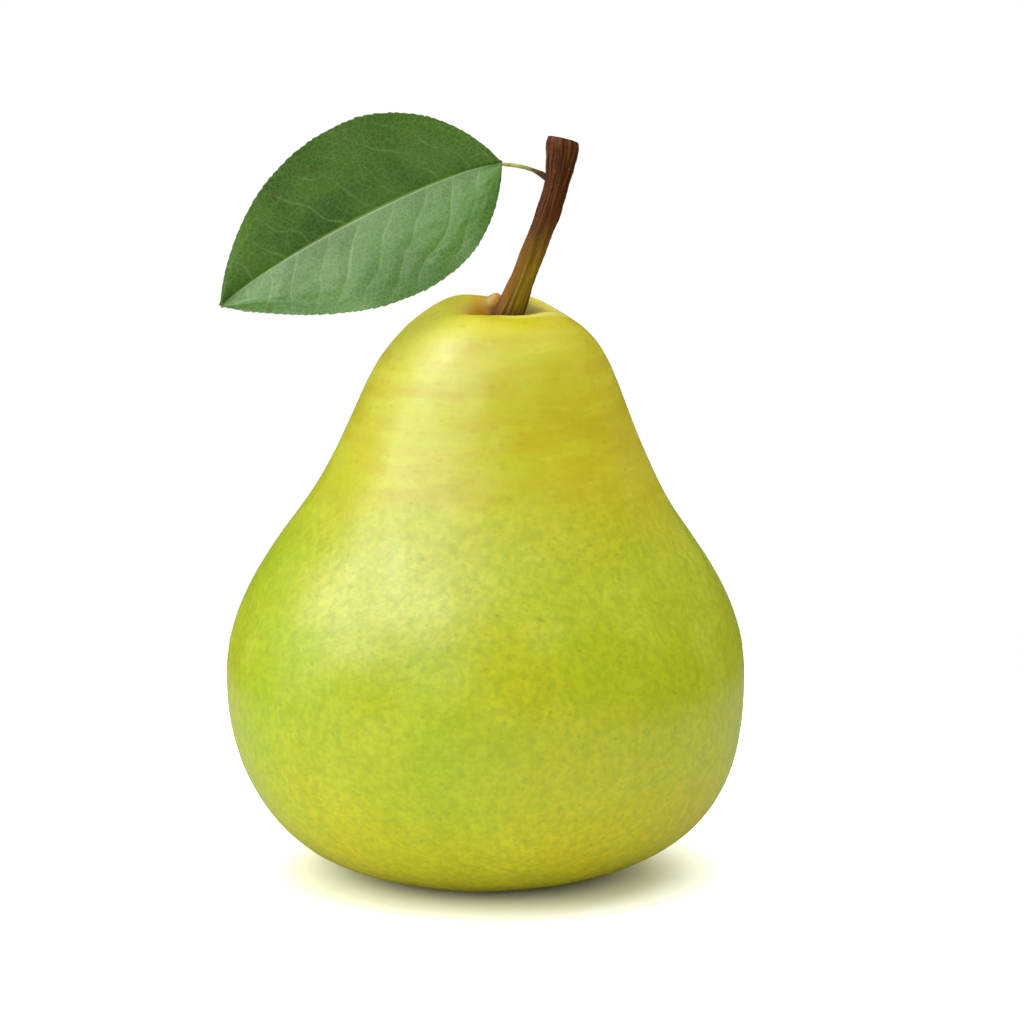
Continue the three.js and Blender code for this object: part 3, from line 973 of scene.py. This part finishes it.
def driedMaterial():
    material, tree, shader, place = newMaterial("driedBlossom", IOR=1.4, Specular_IOR_Level=0.25)
    blotch = patches(tree, place, 600, 0.35, 0.65, 4)
    colour = blendColours(tree, blotch, (0.035, 0.018, 0.009), (0.13, 0.075, 0.035))
    fine = patches(tree, place, 2600, 0.35, 0.65, 3)
    colour = blendColours(tree, calculate(tree, "MULTIPLY", fine, 0.4), colour, (0.22, 0.15, 0.08))
    roughness = calculate(tree, "MULTIPLY_ADD", fine, 0.15, 0.72)
    connect(tree, shader, colour, roughness, fine, 0.0001)
    return material


dried = driedMaterial()
for number in range(blossom["sepals"]):
    finishPiece(makeSepal(number), [f"sepal_{number + 1}"], [dried], 50)
finishPiece(makeStamens(), ["stamens"], [dried], 50)


# floor, lights and camera

studio = {
    "floorRadius": 0.17,
    "floorColour": (0.92, 0.92, 0.92),
    "floorMirrored": (0.26, 0.26, 0.26),
    "floorSeen": (1.5, 1.5, 1.5),
    "aim": millimetres(3.94, 0, 53.2),
    "distance": 0.75,
    "elevation": math.radians(10),
    "lens": 180.6,
    "surroundings": 0.5,  # brightness of the room as soft light
    "mirrored": 0.03,  # and as seen in reflections
}

studioLights = {  # place, size in metres, brightness as soft light, and as seen in reflections
    "keyPanel": ((-0.59, -0.38, 0.88), (1.1, 0.85), 1.25, 8.2),
    "frontPanel": ((-0.45, -0.85, 0.34), (0.8, 0.6), 1.2, 0.0),
    "highLeftPanel": ((-0.80, 0.15, 0.74), (0.7, 0.6), 0.2, 4.8),
    "topPanel": ((0.1, 0.2, 1.15), (1.6, 1.6), 1.9, 1.6),
    "leftPanel": ((-0.98, -0.1, 0.22), (0.9, 0.5), 1.3, 1.8),
    "backPanelLeft": ((-0.80, 0.70, 0.40), (0.5, 0.9), 0.5, 1.4),
    "backPanelRight": ((0.66, 0.80, 0.40), (0.5, 0.9), 0.9, 1.0),
}


def makeStudio():
    scene = bpy.context.scene
    scene.view_settings.view_transform = "Standard"
    pickNothing()
    bpy.ops.mesh.primitive_circle_add(vertices=128, radius=studio["floorRadius"], fill_type="NGON")
    floor = named("studioFloor")
    material, tree, shader, _ = newMaterial("paleFloor", Roughness=0.9)
    rays = addNode(tree, "ShaderNodeLightPath").outputs
    # not physical: darker in reflections, and so bright to the camera that wide shadows fade out
    pale = blendColours(tree, rays["Is Glossy Ray"], studio["floorColour"], studio["floorMirrored"])
    pale = blendColours(tree, rays["Is Camera Ray"], pale, studio["floorSeen"])
    tree.links.new(pale, shader.inputs["Base Color"])
    floor.data.materials.append(material)

    for name, (at, size, soft, mirrored) in studioLights.items():
        for part, brightness in (("Soft", soft), ("Shine", mirrored)):
            bpy.ops.object.light_add(type="AREA", location=at)
            panel = named(name + part)
            panel.data.shape = "RECTANGLE"
            panel.data.size, panel.data.size_y = size
            panel.data.energy = brightness * math.pi * size[0] * size[1]
            panel.visible_camera = False
            panel.visible_diffuse = part == "Soft"
            panel.visible_glossy = part == "Shine"
            panel.rotation_euler = (studio["aim"] - Vector(at)).to_track_quat("-Z", "Y").to_euler()

    world = bpy.data.worlds.new("studioRoom")
    world.use_nodes = True
    scene.world = world
    tree = world.node_tree
    light = tree.nodes["Background"]
    rays = addNode(tree, "ShaderNodeLightPath").outputs
    brightness = spread(tree, rays["Is Glossy Ray"], 0, 1, studio["surroundings"], studio["mirrored"])
    brightness = calculate(tree, "MAXIMUM", brightness, rays["Is Camera Ray"])
    light.inputs["Color"].default_value = (1, 1, 1, 1)
    tree.links.new(brightness, light.inputs["Strength"])

    back = Vector((0, -math.cos(studio["elevation"]), math.sin(studio["elevation"])))
    bpy.ops.object.camera_add(location=studio["aim"] + back * studio["distance"])
    camera = named("studioCamera")
    camera.rotation_euler = (-back).to_track_quat("-Z", "Y").to_euler()
    camera.data.lens = studio["lens"]
    camera.data.clip_start = 0.01
    camera.data.clip_end = 50
    scene.camera = camera


makeStudio()
print("studio set")
